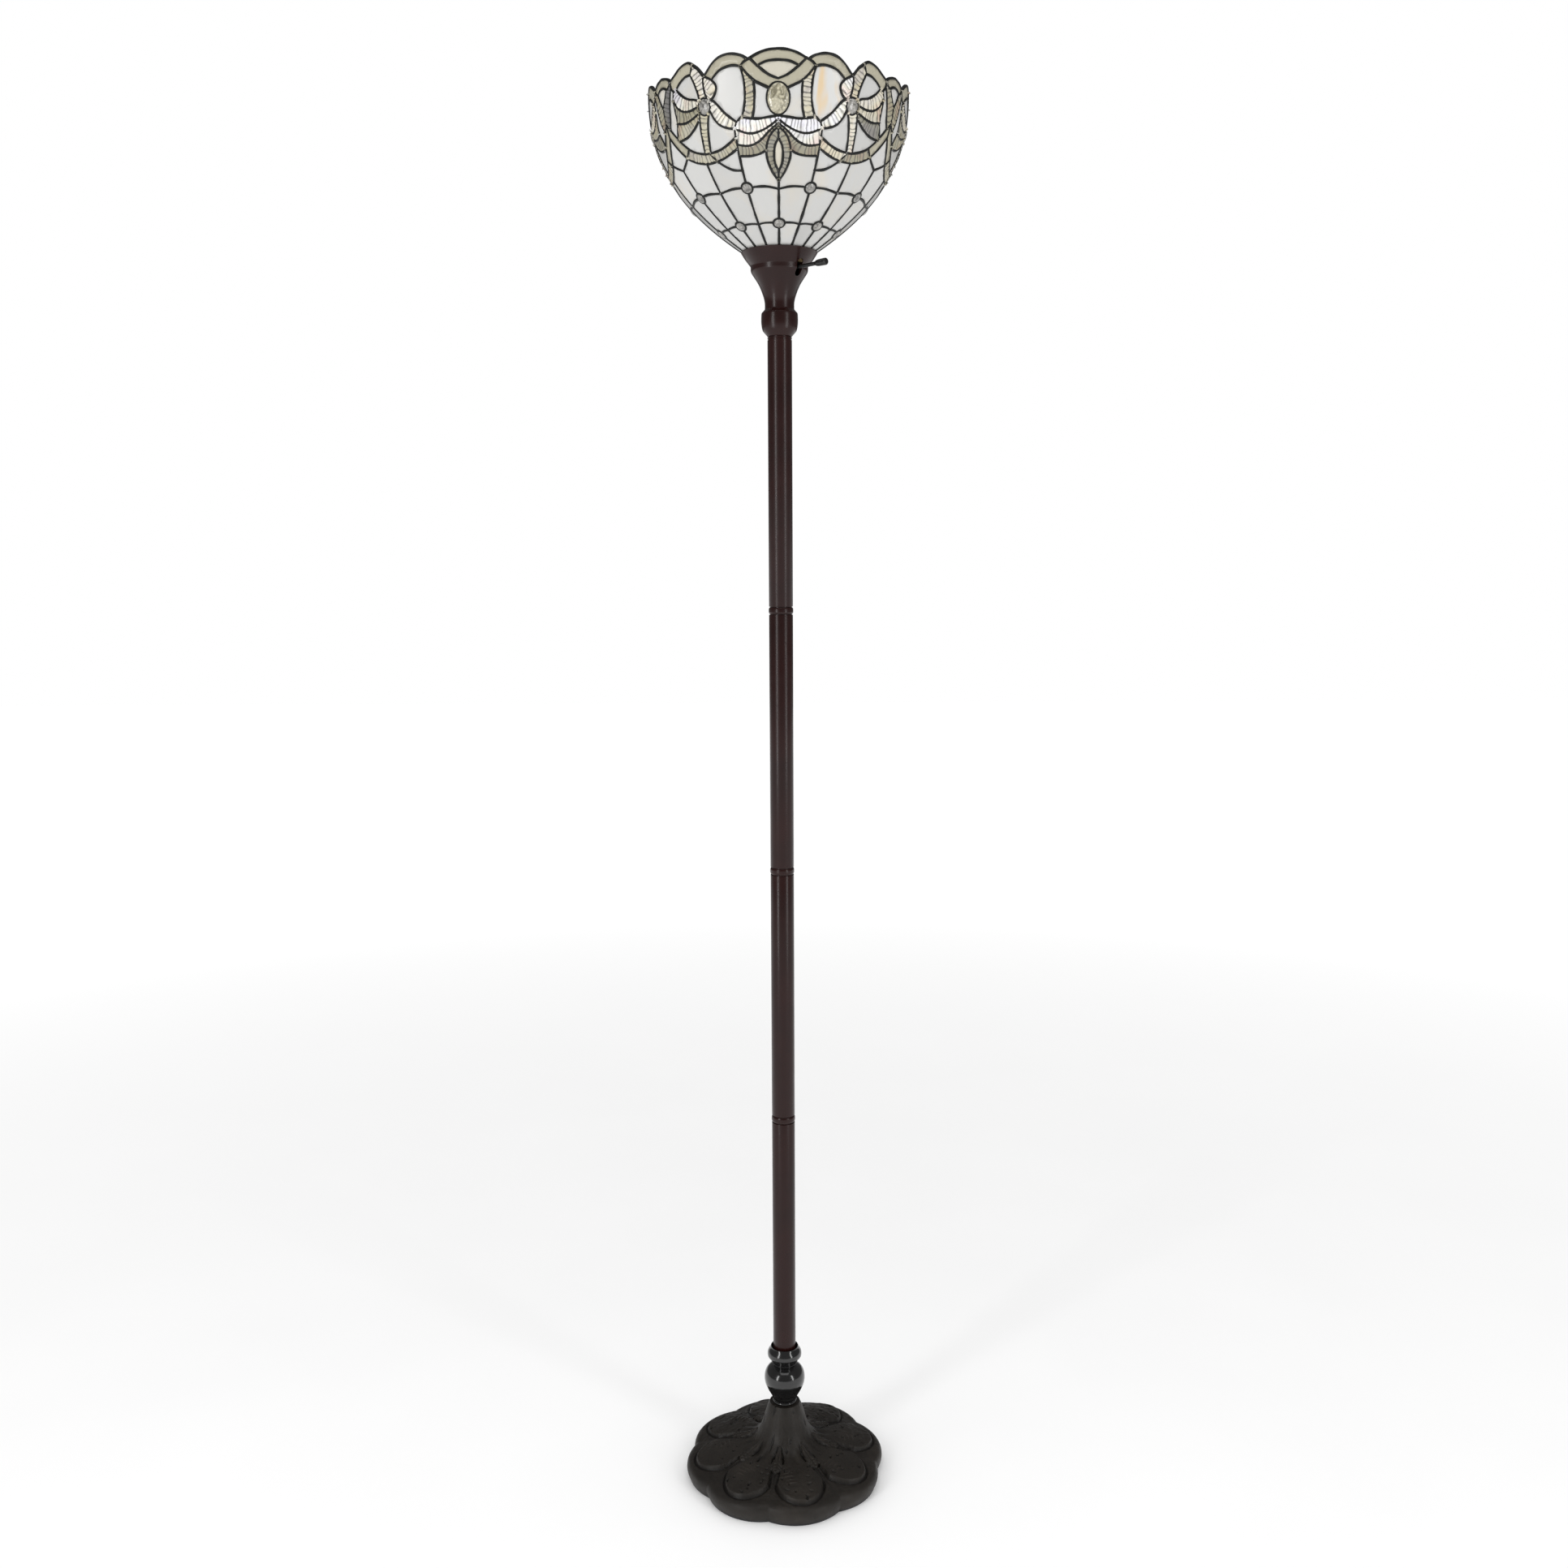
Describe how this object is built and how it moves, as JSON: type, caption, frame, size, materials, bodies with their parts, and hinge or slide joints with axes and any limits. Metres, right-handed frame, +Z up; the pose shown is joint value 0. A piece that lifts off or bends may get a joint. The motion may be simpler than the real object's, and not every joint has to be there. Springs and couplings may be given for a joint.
{
  "type": "torchiere floor lamp",
  "caption": "Floor lamp with an upward leaded-glass bowl shade on a slim bronze pole, with a neck ball, a lobed cast foot, a turn key switch and a screw-in bulb.",
  "frame": {"origin": "bottom centre of the foot, on the floor", "axes": "+Z up along the pole, -Y to the front, towards the middle of one glass repeat; the key points between +X and -Y"},
  "size_m": [0.3116, 0.3114, 1.778],
  "materials": {
    "felt": "woven felt",
    "cast_foot": "satin bronze-brown paint on a sand casting",
    "iron": "raw cast",
    "steel": "plated",
    "plated_steel": "plated thread",
    "bush": "moulded",
    "black_gloss": "gloss black",
    "bronze_tube": "satin-gloss dark bronze",
    "bronze_cup": "satin-gloss dark bronze",
    "brass": "aged",
    "fibre": "pressed fibre",
    "phenolic": "moulded",
    "wire": "insulation",
    "key_black": "moulded, semi-gloss",
    "opal_glass": "white opal, faint cream streaks",
    "beige_glass": "streaky beige",
    "lead_came": "black patina on lead and solder",
    "pearl_jewel": "hammered grey pearl",
    "amber_jewel": "hammered beige",
    "bulb_opal": "frosted",
    "bulb_metal": "rolled thread"
  },
  "bodies": {
    "lamp": {"felt_pad": "felt", "base_casting": "cast_foot", "base_weight": "iron", "base_plate": "steel", "base_washer": "steel", "base_nut": "steel", "cup_nut": "steel", "terminal_screws": "steel", "tie_rod": "plated_steel", "pole_foot_insert": "plated_steel", "tube_inserts": "plated_steel", "pole_couplers": "plated_steel", "top_nipple": "plated_steel", "outlet_bush": "bush", "ball_ring": "black_gloss", "neck_ball": "black_gloss", "neck_ring": "black_gloss", "pole_tube_1": "bronze_tube", "pole_tube_2": "bronze_tube", "pole_tube_3": "bronze_tube", "pole_tube_4": "bronze_tube", "joint_band_1": "bronze_tube", "joint_band_2": "bronze_tube", "joint_band_3": "bronze_tube", "cup_knob": "bronze_cup", "fitter_cup": "bronze_cup", "socket_cap": "brass", "socket_shell": "brass", "screw_shell": "brass", "centre_contact": "brass", "ring_nut": "brass", "shade_cap": "brass", "socket_liner": "fibre", "switch_block": "phenolic", "switch_wires": "wire", "glass_tier_1": "opal_glass", "glass_tier_2": "opal_glass", "glass_tier_4": "opal_glass", "glass_tier_3": "beige_glass", "came_rings": "lead_came", "came_ribs": "lead_came", "low_jewels": "pearl_jewel", "top_jewels": "pearl_jewel", "bow_jewels": "pearl_jewel", "oval_jewels": "amber_jewel"},
    "switch_key": {"key_shaft": "steel", "key_knob": "key_black"},
    "bulb": {"bulb_glass": "bulb_opal", "bulb_cap": "bulb_metal", "bulb_contact": "bulb_metal"}
  },
  "joints": [
    {"name": "key_turn", "type": "hinge", "parent": "lamp", "child": "switch_key", "pos_m": [0, 0, 1.572], "axis": [0.7071, -0.7071, 0], "continuous": true},
    {"name": "bulb_unscrew", "type": "slide", "parent": "lamp", "child": "bulb", "axis": [0, 0, 1], "range_m": [0, 0.026]}
  ]
}
